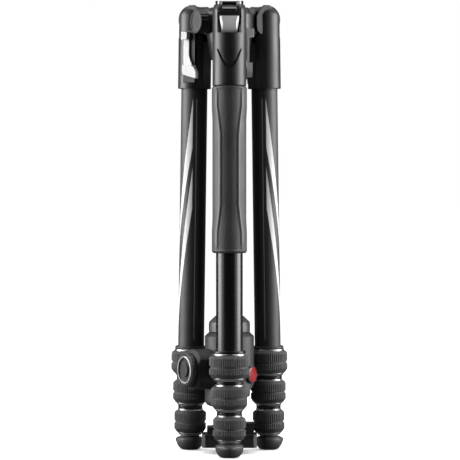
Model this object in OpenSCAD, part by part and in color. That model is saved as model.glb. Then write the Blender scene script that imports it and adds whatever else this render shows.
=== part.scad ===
// Travel tripod with a ball head, folded: the three legs lie back along the column and the head
// hangs upside down between their feet. +Z is up and the feet stand on the floor.
// The origin is the middle of the quick plate's camera face, on the column's axis.
// Names that end in _h are heights above the floor; everything is in millimetres and degrees.

/* [Overall] */
// Folded length, from the floor to the top of the leg hinges
closed_len = 399.2; // [385:0.2:430]
// Height of the plate's camera face above the floor
face_lift = 5.8; // [5.4:0.1:7]
// Distance of the leg hinges from the column's axis
hinge_r = 35.4; // [35:0.1:37]
// Outward lean of the folded legs
leg_splay = 0.88; // [0.7:0.02:1]

/* [Leg tubes] */
// Diameter of the first, widest tube
tube1_d = 23.5; // [23:0.1:24]
// Diameter of the second tube
tube2_d = 20; // [19.6:0.1:20.2]
// Diameter of the third tube
tube3_d = 16.6; // [16.2:0.1:16.8]
// Diameter of the fourth, thinnest tube
tube4_d = 13.2; // [12.8:0.1:13.4]
// Wall of every leg tube
tube_wall = 1.25; // [1:0.05:1.4]
// How much further in each tube reaches than the one inside it
tube_step = 6; // [4:0.5:10]
// Length of the guide collar at the hidden top of a sliding tube
guide_len = 12; // [8:0.5:16]

/* [Twist locks] */
// Height of the foot below the third lock
foot_h = 13.1; // [12.8:0.1:15]
// Height of one twist lock
lock_h = 24; // [22:0.1:24.4]
// Space between two locks, filled by the tube's end collar
lock_gap = 2.9; // [2.6:0.1:4.4]
// Diameter of the first lock
lock1_d = 35.4; // [34.8:0.1:35.6]
// Diameter of the second lock
lock2_d = 31.8; // [31:0.1:32.4]
// Diameter of the third lock
lock3_d = 28.9; // [28:0.1:29.2]
// Thickness of the rubber sleeve round a lock
sleeve_t = 3.5; // [3.3:0.1:3.8]
// Height of the bare metal cone below the rubber
lock_cone_h = 2.5; // [1.6:0.1:2.8]
// Height of the bare metal ring above the rubber
lock_ring_h = 1.5; // [1:0.1:1.8]
// Height of the lock's narrow mouth, where the thinner tube comes out
mouth_h = 4.5; // [3.5:0.1:6]
// Width of the groove round the middle of the rubber
sleeve_groove_w = 2; // [1:0.1:2.6]
// Depth of that groove
sleeve_groove_t = 1; // [0.4:0.1:1.2]
// Height of the rubber's bottom bevel
sleeve_bevel_h = 3.4; // [2.4:0.1:4]

/* [Feet] */
// Diameter of the rubber foot
foot_d = 24.8; // [24:0.1:26]
// Radius of the flat that the foot stands on
foot_sole_r = 6; // [5:0.1:7]
// Reach of the foot's toe from the leg's axis
toe_reach = 14.4; // [13.6:0.1:15]
// Radius of the toe's tip, seen from above
toe_r = 6; // [4:0.1:8]
// Distance of the foot's flat inner side from the leg's axis
foot_flat = 9.3; // [9:0.1:9.6]

/* [Leg shoulders] */
// Diameter of a shoulder casting
shoulder_w = 29.6; // [29.2:0.1:30]
// Distance of the casting's flat back from the leg's axis
shoulder_back = 13; // [12.6:0.1:13.2]
// Length of the casting below the hinge
shoulder_len = 61.8; // [60:0.1:66]
// Radius of the dome that rounds off the ears
dome_r = 15.4; // [15:0.1:16]
// Width of the slot between the ears
slot_w = 20.6; // [20:0.1:21]
// Depth of the slot below the hinge
slot_deep = 16.4; // [16:0.1:18]
// Length of tube held in the casting's collar
collar_len = 22; // [18:0.5:24]
// Diameter of the hinge pin
pin_d = 8; // [6:0.1:9]
// Length of the hinge pin, hidden in both ears
pin_len = 27; // [25:0.5:28]

/* [Angle selector] */
// Width of the selector's pawl at its top
pawl_top_w = 17.6; // [16.8:0.1:18.4]
// Width of the pawl at its foot
pawl_foot_w = 14.4; // [13:0.1:15]
// Travel of the selector along the leg
selector_travel = 4; // [3:0.1:4.4]
// Thickness of the selector's outer lever
lever_t = 2; // [1.6:0.1:2.4]
// Reach of the thumb pad beyond the casting's flank
thumb_reach = 5.4; // [4:0.1:6]
// Reach of the lever's top tab beyond the casting's flank
tab_reach = 6.8; // [5:0.1:7]

/* [Hub] */
// Radius of the hub's body
hub_r = 20.8; // [20:0.1:21.2]
// Height of the hub's body
hub_len = 44; // [40:0.5:48]
// Radius of the knuckles in the leg hinges
knuckle_r = 12.2; // [12:0.1:12.4]
// Width of a knuckle
knuckle_w = 18; // [17.4:0.1:19]
// Size of the stop windows round a knuckle
window_size = 5; // [4:0.1:5.4]
// Width of the stop windows
window_w = 12.4; // [11:0.1:14]
// Depth of the stop windows
window_deep = 4.4; // [3:0.1:5]
// Radius of the accessory thread in the hub's back
thread_r = 4.76; // [4.6:0.02:4.8]
// Depth of that thread
thread_len = 9; // [8:0.1:9.4]

/* [Column] */
// Diameter of the centre column
column_d = 22; // [21:0.1:22.2]
// Wall of the column
column_wall = 1.5; // [1.2:0.1:2]
// Wall of the plastic bush round it
bush_wall = 2.1; // [1.8:0.1:2.4]
// Diameter of the column-lock knob
column_knob_d = 21; // [20:0.1:22]
// Distance of that knob's face from the column's axis
column_knob_reach = 34.3; // [33.5:0.1:36]
// Height of that knob's axis above the floor
column_knob_h = 383; // [381:0.5:385]

/* [Grip] */
// Height of the grip's lower end above the floor
grip_low_h = 178.7; // [150:0.1:200]
// Diameter of the grip at its ends
grip_d = 30.9; // [30:0.1:31.4]
// Diameter of the grip at its waist
grip_waist_d = 29.8; // [29:0.1:30.4]
// Distance of the grip's flat back from the leg's axis
grip_flat = 13.2; // [12.8:0.1:13.4]

/* [Head] */
// Diameter of the head's fixed base
base_d = 37; // [36:0.1:38]
// Diameter of the head's body
head_d = 44; // [43:0.1:44.4]
// Height of the joint between base and body above the floor
pan_h = 107.4; // [106:0.1:108.5]
// Height of the top of the base's cone above the floor
cone_h = 121.6; // [120:0.1:123]
// Height of the body's lower rim above the floor
rim_h = 41.4; // [41:0.1:42.5]
// Diameter of the ball
ball_d = 34; // [33:0.1:34.4]
// Height of the ball's centre above the floor
ball_h = 54; // [53.5:0.1:54.5]
// Radius of the scoop in the rim that lets the head drop sideways
scoop_r = 17.5; // [16.5:0.1:18]

/* [Head knobs] */
// Diameter of the ball-lock knob
main_knob_d = 30; // [29:0.1:30.4]
// Distance of the ball-lock knob's face from the column's axis
main_knob_reach = 46.4; // [45:0.1:47.5]
// Height of the ball-lock knob's axis above the floor
main_knob_h = 75.2; // [75:0.1:76]
// Width of the housing behind it
housing_w = 30; // [28:0.1:30.2]
// Height of that housing
housing_tall = 36; // [34:0.1:37]
// Diameter of the friction dial in the knob
dial_d = 24.4; // [21:0.1:25]
// Diameter of the pan-lock knob
pan_knob_d = 16; // [14:0.1:18]
// Diameter of the red badge
badge_d = 13.5; // [12:0.1:14]

/* [Clamp and plate] */
// Width of the plate and of the clamp's flange
plate_w = 49; // [48:0.1:49.2]
// Back edge of the plate, from the column's axis
plate_back = 14; // [12:0.1:14.4]
// Thickness of the plate
plate_t = 7.4; // [6.5:0.1:7.6]
// Front corner chamfer of the plate
plate_chamfer = 3; // [2.8:0.1:5]
// Back corner chamfer of the plate
plate_taper = 10; // [9.8:0.1:12]
// Front edge of the clamp, from the column's axis
clamp_front = 20; // [18:0.1:20.4]
// Back edge of the clamp, from the column's axis
clamp_back = 7; // [6:0.1:7.2]
// Thickness of the clamp's flange
flange_t = 4; // [3.4:0.1:4.4]
// Radius of the camera screw
screw_r = 3.175; // [3:0.005:3.2]
// Reach of the camera screw beyond the plate
screw_len = 5; // [4:0.1:5.2]

/* [Clearances] */
// Radial clearance of pieces that turn or slide on each other
run = 0.08; // [0.05:0.01:0.1]
// Radial clearance of pieces that are fixed together
fit = 0.04; // [0.02:0.01:0.06]
// Gap between curved or flat faces that only pass each other
gap = 0.3; // [0.25:0.01:0.35]

/* [Hidden] */
$fn = 96;
LEGS = ["front", "left", "right"];

// One overrun serves every cut that leaves a solid
over = 1;
// Directions of the legs round the column, and of what sits between them
leg_az = [-90, 150, 30];
knob_az = 210;
badge_az = -30;
back_az = 90;

// Height of the hub's top above the hinges
hub_over = 9;
hinge_h = closed_len - knuckle_r;
leg_len = (hinge_h - foot_sole_r * sin(leg_splay)) / cos(leg_splay);
tube_r = [tube1_d / 2, tube2_d / 2, tube3_d / 2, tube4_d / 2];
lock_r = [lock1_d / 2, lock2_d / 2, lock3_d / 2];
lock_at = [for (k = [0:2]) foot_h + (2 - k) * (lock_h + lock_gap)];
tube_top = [for (k = [0:3]) leg_len - shoulder_len + collar_len - k * tube_step];
column_r = column_d / 2;
bush_r = column_r + bush_wall;
hub_top_h = hinge_h + hub_over;
ball_r = ball_d / 2;
head_r = head_d / 2;
base_r = base_d / 2;

// Metal rings of a lock: how far they stand in from the rubber's outside
ring_inset = 3;
cone_inset = 4.6;
// Small edge bevels
edge = 0.6;
fine_edge = 0.3;

// A height above the floor as a height above the plate's camera face
function up(h) = h - face_lift;

// Leg i, with the origin on its hinge, X outwards, Y along the hinge and Z along the leg
module at_hinge(i) {
    rotate([0, 0, leg_az[i]]) translate([hinge_r, 0, up(hinge_h)]) rotate([0, -leg_splay, 0])
        children();
}

// Leg i, with the origin on the leg's axis at the sole of its foot
module at_sole(i) {
    at_hinge(i) translate([0, 0, -leg_len]) children();
}

// A direction round the column at height h, with Z pointing outwards
module radial(az, h) {
    rotate([0, 0, az]) translate([0, 0, up(h)]) rotate([0, 90, 0]) children();
}

// A ring or disc about Z from z0 to z1, with a chamfer c on its outer edges
module ring(r_out, r_in, z0, z1, c = 0) {
    rotate_extrude() polygon([[r_in, z0], [r_out - c, z0], [r_out, z0 + c], [r_out, z1 - c],
                              [r_out - c, z1], [r_in, z1]]);
}

// A rectangle with round corners, about the origin
module round_rect(x, y, r) {
    square([x - 2 * r, y], center = true);
    square([x, y - 2 * r], center = true);
    for (sx = [-1, 1], sy = [-1, 1])
        translate([sx * (x / 2 - r), sy * (y / 2 - r)]) circle(r);
}

// A round knob about Z from z0 to z1 with n finger flutes of radius flute_r round it
module fluted(r, z0, z1, n, flute_r, c) {
    difference() {
        ring(r, 0, z0, z1, c);
        for (a = [0:n - 1])
            rotate([0, 0, a * 360 / n]) translate([r + flute_r * flute_share, 0, z0 - over])
                cylinder(r = flute_r, h = z1 - z0 + 2 * over, $fn = 24);
    }
}
// How far a flute's centre stands outside the knob, as a share of the flute's radius
flute_share = 0.55;

// Leg tube k: a straight tube with its end collar below and, where it slides, its guide on top
module leg_tube(k) {
    r = tube_r[k];
    bottom = k < 3 ? lock_at[k] + mouth_h + gap : tube4_seat;
    collar_low = k < 3 ? lock_at[k] + lock_h + gap : 0;
    collar_high = k == 0 ? collar_low + first_collar_h : lock_at[k - 1] - gap;
    difference() {
        union() {
            translate([0, 0, bottom]) cylinder(r = r, h = tube_top[k] - bottom);
            if (k < 3)
                ring(lock_r[k] - ring_inset - gap, r - over, collar_low, collar_high, fine_edge);
            if (k > 0)
                translate([0, 0, tube_top[k] - guide_len])
                    cylinder(r = tube_r[k - 1] - tube_wall - run, h = guide_len);
        }
        translate([0, 0, bottom - over])
            cylinder(r = r - tube_wall, h = tube_top[k] - bottom + 2 * over);
    }
}
// Height of the black collar above the first lock
first_collar_h = 2.2;
// How deep the fourth tube's end stands in the foot
tube4_seat = 4;

// Lock k, the metal nut: a cone below, a ring above and the rubber's seat between
module lock_nut(k) {
    r = lock_r[k];
    thin = tube_r[k + 1] + run;
    wide = tube_r[k] + run;
    translate([0, 0, lock_at[k]]) rotate_extrude()
        polygon([[thin, 0], [r - cone_inset, 0], [r - ring_inset, lock_cone_h - fine_edge],
                 [r - ring_inset, lock_cone_h], [r - sleeve_t, lock_cone_h],
                 [r - sleeve_t, lock_h - lock_ring_h], [r - ring_inset, lock_h - lock_ring_h],
                 [r - ring_inset, lock_h - fine_edge], [r - ring_inset - fine_edge, lock_h],
                 [wide, lock_h], [wide, mouth_h], [thin, mouth_h]]);
}

// Lock k, the rubber sleeve with its groove, and the bevels at both ends
module lock_sleeve(k) {
    r = lock_r[k];
    inner = r - sleeve_t + fit;
    mid = lock_h / 2;
    low = lock_cone_h + fit;
    high = lock_h - lock_ring_h - fit;
    end = ring_inset - fine_edge;
    half = sleeve_groove_w / 2;
    slope = sleeve_groove_t / 2;
    translate([0, 0, lock_at[k]]) rotate_extrude()
        polygon([[inner, low], [r - end, low], [r, low + sleeve_bevel_h],
                 [r, mid - half], [r - sleeve_groove_t, mid - half + slope],
                 [r - sleeve_groove_t, mid + half - slope], [r, mid + half],
                 [r, high - sleeve_bevel_h * top_bevel_share], [r - end, high], [inner, high]]);
}

// Height of the rubber's top bevel, as a share of the bottom one's
top_bevel_share = 0.6;

// Rubber foot: a dome with a toe that points outwards and a flat inner side
module foot() {
    r = foot_d / 2;
    brim = foot_h - gap;
    difference() {
        union() {
            rotate_extrude()
                polygon([[0, 0], [foot_sole_r, 0],
                         for (a = [10:10:80])
                             [foot_sole_r + (r - foot_sole_r) * sin(a), foot_curve_h * (1 - cos(a))],
                         [r, foot_curve_h], [r - foot_slope, brim - foot_slope / 2],
                         [tube_r[3] + foot_slope, brim - foot_slope / 2],
                         [tube_r[3] + foot_slope / 2, brim], [0, brim]]);
            intersection() {
                rotate([90, 0, 0]) translate([0, 0, -foot_d / 2]) linear_extrude(foot_d)
                    polygon([[0, toe_low], [foot_sole_r + toe_low, toe_low],
                             [toe_reach - edge, toe_tip_h], [toe_reach, toe_tip_h + edge],
                             [toe_reach - edge, toe_tip_h + 2 * edge],
                             [r - foot_slope, brim - foot_slope / 2], [0, brim - foot_slope / 2]]);
                linear_extrude(foot_h) {
                    translate([toe_reach - toe_r, 0]) circle(r = toe_r);
                    polygon([for (s = [1, -1], q = [0, 1])
                        [(q == (s + 1) / 2 ? 0 : toe_reach - toe_r) + (q == (s + 1) / 2 ? r : toe_r) * cos(toe_angle),
                         s * (q == (s + 1) / 2 ? r : toe_r) * sin(toe_angle)]]);
                }
            }
        }
        translate([0, 0, tube4_seat]) cylinder(r = tube_r[3] + fit, h = foot_h);
        translate([-foot_flat - r, -r, -over]) cube([r, 2 * r, foot_h + 2 * over]);
    }
}
// Height of the foot's rounded side, and width of the slope above it
foot_curve_h = 9.2;
foot_slope = 2.6;
// Lowest point and tip of the toe
toe_low = 2.8;
toe_tip_h = 8.4;
// Direction in which the toe's sides touch both circles
toe_angle = acos((foot_d / 2 - toe_r) / (toe_reach - toe_r));

// Shoulder casting: a collar for the first tube below, and two ears round the hub's knuckle
module shoulder() {
    difference() {
        union() {
            shoulder_form();
            cheeks();
            flank_rail();
        }
        translate([-shoulder_w, -slot_w / 2, -slot_deep])
            cube([2 * shoulder_w, slot_w, slot_deep + dome_r + over]);
        rotate([90, 0, 0]) cylinder(r = pin_d / 2 + run, h = pin_len + 2 * gap, center = true);
        translate([0, 0, -shoulder_len - over])
            cylinder(r = tube_r[0] + fit, h = collar_len + over + gap);
        translate([rod_back - gap, -rod_w / 2 - gap, -shoulder_len + collar_len])
            cube([rod_front - rod_back + 2 * gap, rod_w + 2 * gap, shoulder_len]);
        translate([arm_back - gap, 0, arm_low - selector_travel - gap])
            cube([arm_w + 2 * gap, shoulder_w, arm_tall + selector_travel + 2 * gap]);
        translate([-shoulder_w, -pawl_foot_w / 2 - gap, -slot_deep - selector_travel])
            cube([shoulder_w + pocket_front, pawl_foot_w + 2 * gap, selector_travel + over]);
        tongue_cut();
    }
}
// How far forward the pawl's pocket reaches behind the tongue
pocket_front = 11.6;

// The casting's outer form: a round bar with a flat back and a dome over the ears
module shoulder_form() {
    intersection() {
        translate([0, 0, -shoulder_len]) cylinder(r = shoulder_w / 2, h = shoulder_len + dome_r);
        translate([-shoulder_back, -shoulder_w, -shoulder_len])
            cube([2 * shoulder_w, 2 * shoulder_w, shoulder_len + dome_r]);
        union() {
            translate([0, 0, -dome_drop]) sphere(r = dome_r);
            translate([0, 0, -shoulder_len]) cylinder(r = 2 * dome_r, h = shoulder_len - dome_drop);
        }
    }
}
// Centre of the dome below the hinge
dome_drop = 0.4;

// Flat rail on the casting's flank that the selector's lever slides on
module flank_rail() {
    translate([rail_back, 0, -shoulder_len + rail_low])
        cube([rail_front - rail_back, shoulder_w / 2 + fine_edge, rail_tall]);
}
rail_back = -9;
rail_front = 3;
rail_low = 5;
rail_tall = 46;

// Curved groove below the tongue, cut into the front: the space between two parabolas
module tongue_cut() {
    difference() {
        rotate([90, 0, 90]) linear_extrude(shoulder_w)
            polygon(concat([for (t = [-1:0.1:1]) [tongue_w * t, tongue_low + tongue_tall * t * t]],
                           [for (t = [1:-0.1:-1])
                               [tongue_w * tongue_in_share * t,
                                tongue_low + tongue_step + (tongue_tall - tongue_step) * t * t]]));
        translate([0, 0, -shoulder_len]) cylinder(r = tongue_floor_r, h = shoulder_len);
    }
}
tongue_floor_r = 13.3;
tongue_w = 10.8;
tongue_low = -47.4;
tongue_tall = 17;
tongue_step = 5.8;
tongue_in_share = 0.9;

// Flat cheeks inside the round ears, which reach back towards the hub
module cheeks() {
    rotate([90, 0, 0]) linear_extrude(2 * cheek_half, center = true)
        polygon([[0, cheek_top], [-cheek_tip, cheek_top], [-cheek_shoulder, cheek_high],
                 [-cheek_back, cheek_mid], [-cheek_back, -cheek_low], [-cheek_back + edge, -cheek_heel],
                 [-cheek_toe, -cheek_foot], [0, -cheek_foot]]);
}
cheek_half = 12.2;
cheek_top = 12.4;
cheek_tip = 6.2;
cheek_shoulder = 10.4;
cheek_high = 8;
cheek_back = 14.2;
cheek_mid = 2.1;
cheek_low = 7.1;
cheek_heel = 10.4;
cheek_toe = 10.7;
cheek_foot = 13.3;

// Angle selector: the pawl below the knuckle, its rod in the casting and the lever on the flank
module selector() {
    pawl();
    translate([rod_back, -rod_w / 2, rod_low]) cube([rod_front - rod_back, rod_w, rod_top - rod_low]);
    translate([arm_back, 0, arm_low]) cube([arm_w, shoulder_w / 2 + gap + edge, arm_tall]);
    lever_in = shoulder_w / 2 + fine_edge + gap;
    translate([0, lever_in + lever_t, 0]) rotate([90, 0, 0]) linear_extrude(lever_t)
        polygon([[lever_front, lever_top], [lever_front, pad_top], [pad_back, pad_top - 2 * edge],
                 [lever_back - lever_flare, pad_top], [lever_back, lever_waist],
                 [lever_back, lever_top - 2 * edge]]);
    translate([0, shoulder_w / 2 + thumb_reach, 0]) rotate([90, 0, 0])
        linear_extrude(shoulder_w / 2 + thumb_reach - lever_in)
            polygon([[lever_front - edge, pad_top], [lever_front - edge, pad_mid],
                     [lever_front - 3 * edge, pad_mid - 4 * edge], [pad_back, pad_low],
                     [pad_back, pad_mid], [pad_back + 3 * edge, pad_top - 4 * edge],
                     [lever_back - lever_flare, pad_top]]);
    translate([lever_back, lever_in, lever_top - tab_tall])
        cube([lever_front - lever_back, shoulder_w / 2 + tab_reach - lever_in, tab_tall]);
}
// The rod behind the pawl
rod_w = 7.6;
rod_back = -2.4;
rod_front = 8.6;
rod_low = -34;
rod_top = -13.5;
// The arm from the rod out to the lever
arm_back = -3;
arm_w = 4.4;
arm_low = -33;
arm_tall = 6;
// The lever's outline on the flank
lever_front = 1.5;
lever_back = -4.1;
lever_top = -12;
lever_waist = -33;
lever_flare = 3.4;
pad_back = -13;
pad_top = -41.6;
pad_mid = -47.7;
pad_low = -53.5;
tab_tall = 7;

// Pawl: a curved shoe below the knuckle, wide above and narrow below, with bevelled flanks
module pawl() {
    foot_z = gap - slot_deep;
    difference() {
        intersection() {
            rotate([90, 0, 90]) linear_extrude(shoulder_w)
                polygon([[-pawl_top_w / 2, pawl_top], [pawl_top_w / 2, pawl_top],
                         [pawl_foot_w / 2, foot_z + selector_travel], [pawl_foot_w / 2, foot_z],
                         [-pawl_foot_w / 2, foot_z], [-pawl_foot_w / 2, foot_z + selector_travel]]);
            translate([pawl_centre_x, 0, pawl_centre_z]) rotate([90, 0, 0])
                cylinder(r = pawl_round, h = shoulder_w, center = true);
        }
        rotate([90, 0, 0]) cylinder(r = knuckle_r + gap, h = shoulder_w, center = true);
        for (s = [-1, 1]) translate([pawl_face, s * (pawl_top_w / 2 - pawl_bevel), pawl_top])
            rotate([0, pawl_bevel_tilt, s * 45]) translate([0, -shoulder_w, -shoulder_w])
                cube([shoulder_w, 2 * shoulder_w, 2 * shoulder_w]);
    }
}
pawl_top = -1.9;
pawl_round = 20;
pawl_centre_x = -6.4;
pawl_centre_z = -2.6;
pawl_face = 13.4;
pawl_bevel = 1.3;
pawl_bevel_tilt = 14.8;

// Hub: a body round the column, three arms to the knuckles, and bosses for the knob and the thread
module hub() {
    low_h = hub_top_h - hub_len;
    difference() {
        union() {
            translate([0, 0, up(low_h)]) rotate_extrude()
                polygon([[bush_r, 0], [hub_r - hub_taper, 0], [hub_r - hub_taper + edge, hub_taper],
                         [hub_r, hub_len / 2], [hub_r, hub_len - hub_shoulder],
                         [hub_r - hub_shoulder / 2, hub_len], [bush_r, hub_len]]);
            for (i = [0:2]) rotate([0, 0, leg_az[i]]) translate([0, 0, up(hinge_h)]) hub_arm();
            radial(knob_az, column_knob_h)
                ring(knob_boss_r, 0, bush_r + fit, knob_boss_reach, edge);
            radial(back_az, hinge_h - thread_drop)
                ring(thread_boss_r, 0, bush_r + fit, thread_boss_reach, edge);
        }
        translate([0, 0, up(low_h) - over]) cylinder(r = bush_r + fit, h = hub_len + 2 * over);
        radial(knob_az, column_knob_h) cylinder(r = column_screw_r + run, h = hinge_r);
        radial(back_az, hinge_h - thread_drop) translate([0, 0, thread_boss_reach - thread_len])
            cylinder(r = thread_r, h = thread_len + over);
    }
}

// One arm with its knuckle, the washers beside it, the pin's bore and the three stop windows
module hub_arm() {
    difference() {
        union() {
            translate([0, knuckle_w / 2, 0]) rotate([90, 0, 0]) linear_extrude(knuckle_w)
                polygon([[bush_r + over, -arm_root], [hub_r, -arm_root], [hinge_r - knuckle_r / 2, -arm_half],
                         [hinge_r, -arm_half], [hinge_r, arm_half - edge], [hinge_r - knuckle_r, arm_half - edge],
                         [hub_r - edge, arm_top], [bush_r + over, arm_top]]);
            translate([hinge_r, 0, 0]) rotate([90, 0, 0])
                cylinder(r = knuckle_r, h = knuckle_w, center = true);
            translate([hinge_r, 0, 0]) rotate([90, 0, 0])
                cylinder(r = washer_r, h = slot_w - 2 * gap, center = true);
        }
        translate([hinge_r, 0, 0]) rotate([90, 0, 0])
            cylinder(r = pin_d / 2 + fit, h = shoulder_w, center = true);
        for (a = window_angles) translate([hinge_r, 0, 0]) rotate([0, -a, 0])
            translate([knuckle_r - window_deep, -window_w / 2, -window_size / 2])
                cube([knuckle_r, window_w, window_size]);
    }
}
washer_r = 9;
// Stop windows: the pawl drops into one of them at each leg angle
window_angles = [24, 51, 78];
// The arm's half height at the knuckle, and its lower and upper side at the hub
arm_half = 7;
arm_root = 14;
arm_top = 8.8;
// Slopes of the hub's lower and upper end
hub_taper = 4;
hub_shoulder = 6;
// The thread's axis below the hinges
thread_drop = 3;
// Bosses on the hub, and the column lock's screw
knob_boss_r = 10.3;
knob_boss_reach = 26.4;
thread_boss_r = 8.4;
thread_boss_reach = 23.6;
column_screw_r = 4;

// The three hinge pins
module hinge_pins() {
    for (i = [0:2]) rotate([0, 0, leg_az[i]]) translate([hinge_r, 0, up(hinge_h)])
        rotate([90, 0, 0]) translate([0, 0, -pin_len / 2]) ring(pin_d / 2, 0, 0, pin_len, fine_edge);
}

// Plastic bush between hub and column, with a flange below and a hole for the lock's screw
module column_bush() {
    low = up(hub_top_h - hub_len) - bush_flange;
    difference() {
        union() {
            translate([0, 0, low]) cylinder(r = bush_r, h = hub_len + bush_flange - edge);
            ring(hub_r - hub_taper, column_r, low, low + bush_flange, edge);
        }
        translate([0, 0, low - over]) cylinder(r = column_r + run, h = hub_len + bush_flange + 2 * over);
        radial(knob_az, column_knob_h) cylinder(r = column_screw_r + gap, h = hub_r);
    }
}
bush_flange = 2;

// Centre column: a tube with a closed lower end and a stud for the head
module column() {
    low = up(cone_h) + gap;
    high = up(hub_top_h) + gap;
    difference() {
        translate([0, 0, low]) cylinder(r = column_r, h = high - low);
        translate([0, 0, low + column_plug]) cylinder(r = column_r - column_wall, h = high);
    }
    translate([0, 0, low - stud_len]) cylinder(r = thread_r - fit, h = stud_len + over);
}
column_plug = 12;
stud_len = 10;

// End cap of the column, which rests on the hub when the head is pulled right down
module column_cap() {
    low = up(hub_top_h) + gap;
    ring(bush_r + cap_lip, 0, low, low + cap_t, edge);
    translate([0, 0, low - cap_plug]) cylinder(r = column_r - column_wall - fit, h = cap_plug + edge);
}
cap_lip = 0.9;
cap_t = 2.6;
cap_plug = 11;

// Column lock: a fluted knob with a dished face on a plain screw
module column_knob() {
    radial(knob_az, column_knob_h) {
        difference() {
            fluted(column_knob_d / 2, knob_boss_reach + gap, column_knob_reach, 18, 2 * edge, edge);
            translate([0, 0, column_knob_reach - edge])
                cylinder(r = column_knob_d / 2 - 4 * edge, h = over);
        }
        translate([0, 0, column_r + gap]) cylinder(r = column_screw_r, h = knob_boss_reach - column_r);
    }
}

// Rubber grip on the front leg, waisted, with a flat back and a shallow panel on its front
module front_grip() {
    low = grip_low_h;
    high = leg_len - shoulder_len - gap;
    ends = grip_d / 2;
    waist = grip_waist_d / 2;
    at_sole(0) difference() {
        rotate_extrude()
            polygon([[tube_r[0] + fit, low], [ends - 3 * edge, low], [ends - edge, low + 2 * edge],
                     [ends, low + 5 * edge], [ends, low + grip_end], [waist, low + 2 * grip_end],
                     [waist, high - 2 * grip_end], [ends, high - grip_end], [ends, high - 2 * edge],
                     [ends - 2 * edge, high], [tube_r[0] + fit, high]]);
        translate([-grip_flat - ends, -ends, low - over])
            cube([ends, 2 * ends, high - low + 2 * over]);
        intersection() {
            rotate([90, 0, 90]) linear_extrude(grip_d)
                polygon([[-panel_wide, low + grip_end], [panel_wide, low + grip_end],
                         [panel_narrow, low + 3 * grip_end], [panel_narrow, high - 3 * grip_end],
                         [panel_wide, high - grip_end], [-panel_wide, high - grip_end],
                         [-panel_narrow, high - 3 * grip_end], [-panel_narrow, low + 3 * grip_end]]);
            ring(grip_d, waist - panel_deep, low, high);
        }
    }
}
grip_end = 16;
panel_wide = 10.5;
panel_narrow = 8;
panel_deep = 0.5;

// Fixed base of the head: the cone against the column and the spindle that the body turns on
module head_base() {
    pan = up(pan_h);
    top = up(cone_h);
    difference() {
        rotate_extrude()
            polygon([[0, pan - spindle_len], [spindle_r, pan - spindle_len],
                     [spindle_r, pan], [base_r - edge, pan], [base_r, pan + edge],
                     [base_r, pan + base_band], [base_r - fine_edge, pan + base_band + fine_edge],
                     [base_r - fine_edge, top - cone_tall], [cone_top_r, top], [0, top]]);
        translate([0, 0, top - stud_len - over]) cylinder(r = thread_r, h = stud_len + 2 * over);
    }
}
spindle_r = 9.5;
spindle_len = 13;
base_band = 7.6;
cone_tall = 5.2;
cone_top_r = 12.9;

// Body of the head: the ball's socket, the drop scoop, the knob housing and two bosses
module head_body() {
    difference() {
        union() {
            rotate_extrude()
                polygon([[0, up(rim_h)], [head_r - rim_round, up(rim_h)],
                         for (a = [15:15:75]) [head_r - rim_round * (1 - sin(a)),
                                               up(rim_h) + rim_round * (1 - cos(a))],
                         [head_r, up(rim_h) + rim_round], [head_r, up(pan_h) - gap - top_slope],
                         [base_r, up(pan_h) - gap], [0, up(pan_h) - gap]]);
            housing();
            radial(badge_az, badge_h) ring(badge_d / 2 + 2 * edge, 0, spindle_r + over,
                                           badge_reach - edge, edge);
            radial(back_az, pan_knob_h) ring(pan_knob_d / 2, 0, spindle_r + over, pan_boss_reach, edge);
        }
        translate([0, 0, up(pan_h) - gap - spindle_len - gap])
            cylinder(r = spindle_r + run, h = spindle_len + gap + over);
        translate([0, 0, up(ball_h)]) sphere(r = seat_r + run);
        radial(knob_az, main_knob_h) translate([0, 0, -cam_end - gap])
            cylinder(r = main_screw_r + run, h = cam_end + gap + main_knob_reach);
        radial(back_az, pan_knob_h) cylinder(r = pan_screw_r + run, h = main_knob_reach);
        radial(badge_az, badge_h) translate([0, 0, badge_reach - badge_t])
            cylinder(r = badge_d / 2 + fit, h = badge_t);
        translate([scoop_from, 0, up(scoop_h)]) rotate([0, 90, 0])
            cylinder(r = scoop_r, h = head_r);
    }
}
rim_round = 5;
top_slope = 3.4;
badge_h = 70;
badge_reach = 24.6;
badge_t = 2;
pan_knob_h = 95;
pan_boss_reach = 25;
pan_screw_r = 2.5;
main_screw_r = 3.8;
cam_end = 9;
scoop_from = 13.5;
scoop_h = 43.4;

// Housing of the ball lock: a round block with flat sides that stands out between two legs
module housing() {
    radial(knob_az, main_knob_h) intersection() {
        ring(housing_tall / 2, 0, spindle_r + over, housing_reach, housing_bevel);
        translate([-housing_tall / 2, -housing_w / 2, 0])
            cube([housing_tall, housing_w, housing_reach]);
    }
}
housing_reach = 40.2;
housing_bevel = 2.6;

// Liner between ball and body: a zone of a hollow sphere
module ball_seat() {
    difference() {
        translate([0, 0, up(ball_h)]) sphere(r = seat_r);
        translate([0, 0, up(ball_h)]) sphere(r = ball_r + run);
        translate([-seat_r - over, -seat_r - over, up(ball_h) + seat_high])
            cube([2 * seat_r + 2 * over, 2 * seat_r + 2 * over, seat_r]);
        translate([-seat_r - over, -seat_r - over, up(ball_h) - seat_low - seat_r])
            cube([2 * seat_r + 2 * over, 2 * seat_r + 2 * over, seat_r]);
    }
}
seat_r = 18.6;
seat_high = 12;
seat_low = 4;

// Ball with a flat below and a threaded bore for the stem
module ball() {
    difference() {
        translate([0, 0, up(ball_h)]) sphere(r = ball_r);
        translate([-ball_r, -ball_r, up(ball_flat_h) - ball_r]) cube([ball_d, ball_d, ball_r]);
        translate([0, 0, up(ball_flat_h) - over]) cylinder(r = stem_screw_r + fit, h = stem_screw_len + over);
    }
}
ball_flat_h = 38.6;
stem_screw_r = 3;
stem_screw_len = 12;

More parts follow.
